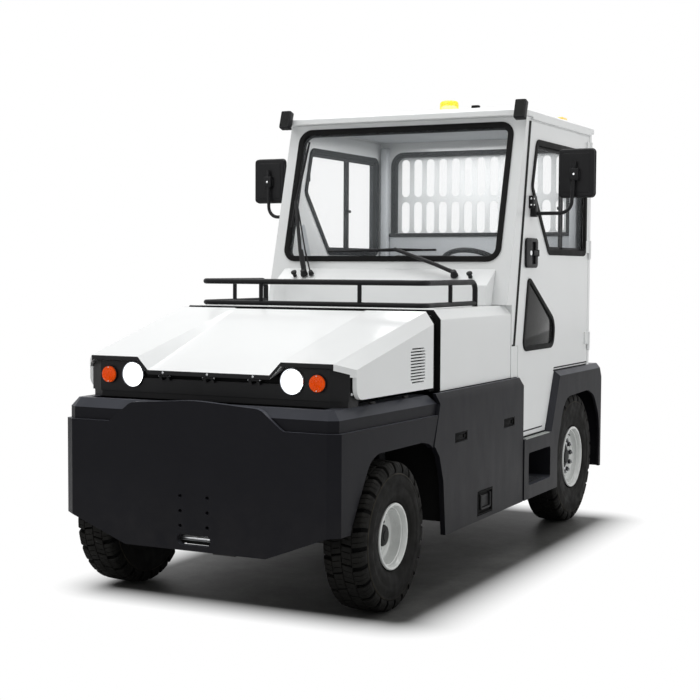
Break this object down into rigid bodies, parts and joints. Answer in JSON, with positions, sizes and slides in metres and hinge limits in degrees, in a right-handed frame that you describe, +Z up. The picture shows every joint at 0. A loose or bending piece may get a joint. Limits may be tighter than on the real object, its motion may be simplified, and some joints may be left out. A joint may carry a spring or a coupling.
{
  "type": "airport baggage tow tractor with closed cab",
  "caption": "Low tow tractor with a long hood, closed rear-set cab, steered front wheels, opening doors and a stepped rear tow coupling.",
  "frame": {"origin": "on the ground under the middle of the vehicle's length and width", "axes": "+Z up, the front faces -Y, the vehicle's left side is at +X"},
  "size_m": [1.9886, 3.42, 2.3443],
  "materials": {
    "white_paint": "semi-gloss white",
    "dark_shell_paint": "satin anthracite",
    "black_frame_paint": "satin black",
    "black_plastic": "moulded black",
    "black_rubber": "matt",
    "clear_glass": "clear safety glass",
    "lamp_lens": "clear lens over reflector",
    "amber_lens": "amber lens",
    "red_lens": "red lens",
    "tyre_rubber": "worn matt",
    "rim_paint": "gloss off-white",
    "axle_iron": "painted casting",
    "power_unit_iron": "dull",
    "bright_pin": "zinc plated",
    "floor_paint": "textured grey",
    "seat_cover": "black woven cover"
  },
  "bodies": {
    "chassis": {"chassis_frame": "black_frame_paint", "front_bumper": "dark_shell_paint", "tow_pins": "bright_pin", "headlamp_panel": "black_plastic", "headlamps": "lamp_lens", "indicators": "amber_lens", "cowl": "white_paint", "hood_seal": "black_rubber", "scuttle": "white_paint", "hood_rail": "black_frame_paint", "side_panel_left": "dark_shell_paint", "side_panel_right": "dark_shell_paint", "rear_fender_left": "dark_shell_paint", "rear_fender_right": "dark_shell_paint", "cab_front": "white_paint", "cab_glass": "clear_glass", "roof": "white_paint", "rear_wall": "white_paint", "rear_guard": "white_paint", "door_sills": "white_paint", "rear_body": "dark_shell_paint", "cab_floor": "floor_paint", "dashboard": "black_plastic", "steering_column": "black_plastic", "seat_bases": "black_frame_paint", "seats": "seat_cover", "power_unit": "power_unit_iron", "front_axle": "axle_iron", "rear_axle": "axle_iron", "wipers": "black_plastic", "roof_lamps": "black_plastic", "beacon": "amber_lens", "rear_lamps": "red_lens", "tow_hitch": "black_frame_paint"},
    "hood": {"hood": "white_paint"},
    "knuckle_left": {"knuckle_left": "axle_iron"},
    "knuckle_right": {"knuckle_right": "axle_iron"},
    "steering_wheel": {"steering_wheel": "black_plastic"},
    "front_wheel_left": {"front_tyre_left": "tyre_rubber", "front_rim_left": "rim_paint"},
    "rear_wheel_left": {"rear_tyre_left": "tyre_rubber", "rear_rim_left": "rim_paint"},
    "door_left": {"door_left": "white_paint", "door_glass_left": "clear_glass", "door_fittings_left": "black_plastic"},
    "front_wheel_right": {"front_tyre_right": "tyre_rubber", "front_rim_right": "rim_paint"},
    "rear_wheel_right": {"rear_tyre_right": "tyre_rubber", "rear_rim_right": "rim_paint"},
    "door_right": {"door_right": "white_paint", "door_glass_right": "clear_glass", "door_fittings_right": "black_plastic"}
  },
  "joints": [
    {"name": "steer_left", "type": "hinge", "parent": "chassis", "child": "knuckle_left", "pos_m": [0.498, -1.268, 0.311], "axis": [0, 0, 1], "range_deg": [-35, 35]},
    {"name": "steer_right", "type": "hinge", "parent": "chassis", "child": "knuckle_right", "pos_m": [-0.498, -1.268, 0.311], "axis": [0, 0, 1], "range_deg": [-35, 35]},
    {"name": "front_wheel_spin_left", "type": "hinge", "parent": "knuckle_left", "child": "front_wheel_left", "pos_m": [0.604, -1.268, 0.311], "axis": [1, 0, 0], "continuous": true},
    {"name": "rear_wheel_spin_left", "type": "hinge", "parent": "chassis", "child": "rear_wheel_left", "pos_m": [0.598, 1.13, 0.361], "axis": [1, 0, 0], "continuous": true},
    {"name": "front_wheel_spin_right", "type": "hinge", "parent": "knuckle_right", "child": "front_wheel_right", "pos_m": [-0.604, -1.268, 0.311], "axis": [1, 0, 0], "continuous": true},
    {"name": "rear_wheel_spin_right", "type": "hinge", "parent": "chassis", "child": "rear_wheel_right", "pos_m": [-0.598, 1.13, 0.361], "axis": [1, 0, 0], "continuous": true},
    {"name": "door_left_swing", "type": "hinge", "parent": "chassis", "child": "door_left", "pos_m": [0.687, 1.388, 1.325], "axis": [0, 0, 1], "range_deg": [0, 90]},
    {"name": "door_right_swing", "type": "hinge", "parent": "chassis", "child": "door_right", "pos_m": [-0.687, 1.388, 1.325], "axis": [0, 0, -1], "range_deg": [0, 90]},
    {"name": "hood_tilt", "type": "hinge", "parent": "chassis", "child": "hood", "pos_m": [0, -1.594, 0.96], "axis": [1, 0, 0], "range_deg": [0, 55]},
    {"name": "steering_wheel_turn", "type": "hinge", "parent": "chassis", "child": "steering_wheel", "pos_m": [0.32, 0.53, 1.41], "axis": [0, 0.5736, 0.8192], "range_deg": [-560, 560]}
  ],
  "couplings": [
    {"joint": "steer_right", "follows": "steer_left", "ratio": 1},
    {"joint": "steering_wheel_turn", "follows": "steer_left", "ratio": 16}
  ]
}
